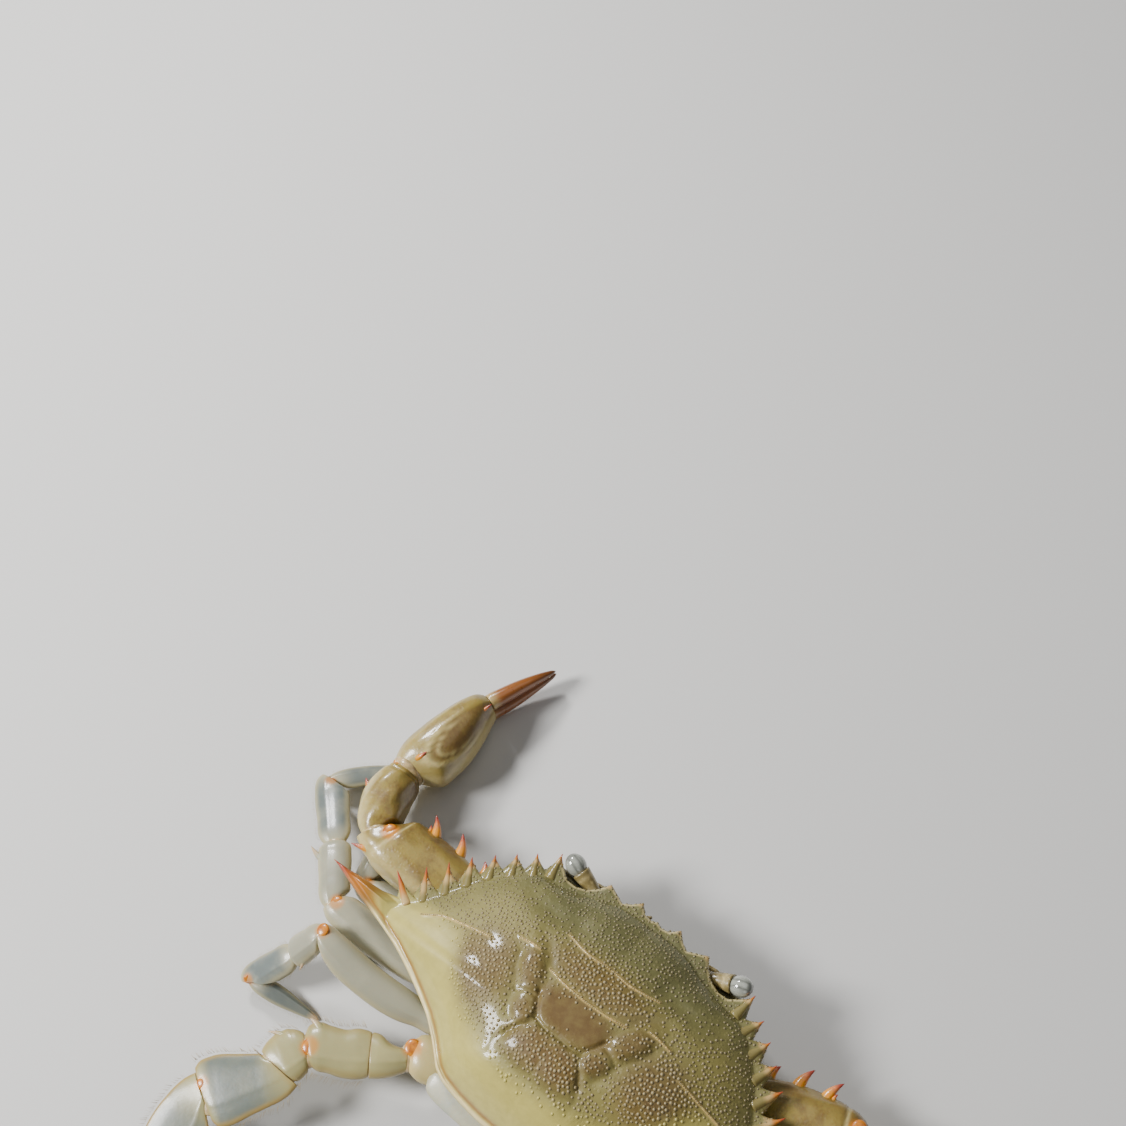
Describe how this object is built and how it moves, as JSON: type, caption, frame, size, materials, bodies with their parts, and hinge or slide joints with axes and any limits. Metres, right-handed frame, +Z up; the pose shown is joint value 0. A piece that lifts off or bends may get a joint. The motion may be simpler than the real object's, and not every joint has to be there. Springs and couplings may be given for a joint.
{
  "type": "blue crab, life-size still model",
  "caption": "Swimming crab at rest on its belly: broad toothed shell with long side spines, claws, walking legs and paddle-tipped rear legs.",
  "frame": {"origin": "on the floor at the flat of the folded tail under the body, below the line between the two lateral spines", "axes": "+Z up, the crab faces -Y, its own left is +X"},
  "size_m": [0.228, 0.1623, 0.034],
  "materials": {
    "shell": "wet olive shell with brown lobes and pale grains",
    "claw": "wet ochre and olive shell with orange spines",
    "finger": "glossy orange-brown shell",
    "leg": "blue-grey shell with cream edges and orange joints",
    "paddle_leg": "blue-grey shell with ochre edges",
    "underside": "cream-white shell",
    "stalk": "brown",
    "eye": "glassy grey"
  },
  "bodies": {
    "root": {"antenna_l": "stalk", "antenna_r": "stalk", "antennule_l": "stalk", "antennule_r": "stalk", "carapace": "shell", "cheliped_l_carpus": "claw", "cheliped_l_dactyl": "finger", "cheliped_l_ischium": "claw", "cheliped_l_merus": "claw", "cheliped_l_palm": "claw", "cheliped_r_carpus": "claw", "cheliped_r_dactyl": "finger", "cheliped_r_ischium": "claw", "cheliped_r_merus": "claw", "cheliped_r_palm": "claw", "eye_l": "eye", "eye_r": "eye", "eyestalk_l": "stalk", "eyestalk_r": "stalk", "leg2_l_carpus": "leg", "leg2_l_dactyl": "leg", "leg2_l_merus": "leg", "leg2_l_propodus": "leg", "leg2_r_carpus": "leg", "leg2_r_dactyl": "leg", "leg2_r_merus": "leg", "leg2_r_propodus": "leg", "leg3_l_carpus": "leg", "leg3_l_dactyl": "leg", "leg3_l_merus": "leg", "leg3_l_propodus": "leg", "leg3_r_carpus": "leg", "leg3_r_dactyl": "leg", "leg3_r_merus": "leg", "leg3_r_propodus": "leg", "leg4_l_carpus": "leg", "leg4_l_dactyl": "leg", "leg4_l_merus": "leg", "leg4_l_propodus": "leg", "leg4_r_carpus": "leg", "leg4_r_dactyl": "leg", "leg4_r_merus": "leg", "leg4_r_propodus": "leg", "mouth_plate_l": "underside", "mouth_plate_r": "underside", "paddle_leg_l_carpus": "paddle_leg", "paddle_leg_l_dactyl": "paddle_leg", "paddle_leg_l_ischium": "paddle_leg", "paddle_leg_l_merus": "paddle_leg", "paddle_leg_l_propodus": "paddle_leg", "paddle_leg_r_carpus": "paddle_leg", "paddle_leg_r_dactyl": "paddle_leg", "paddle_leg_r_ischium": "paddle_leg", "paddle_leg_r_merus": "paddle_leg", "paddle_leg_r_propodus": "paddle_leg", "pleon": "underside", "thorax": "underside"}
  },
  "joints": []
}
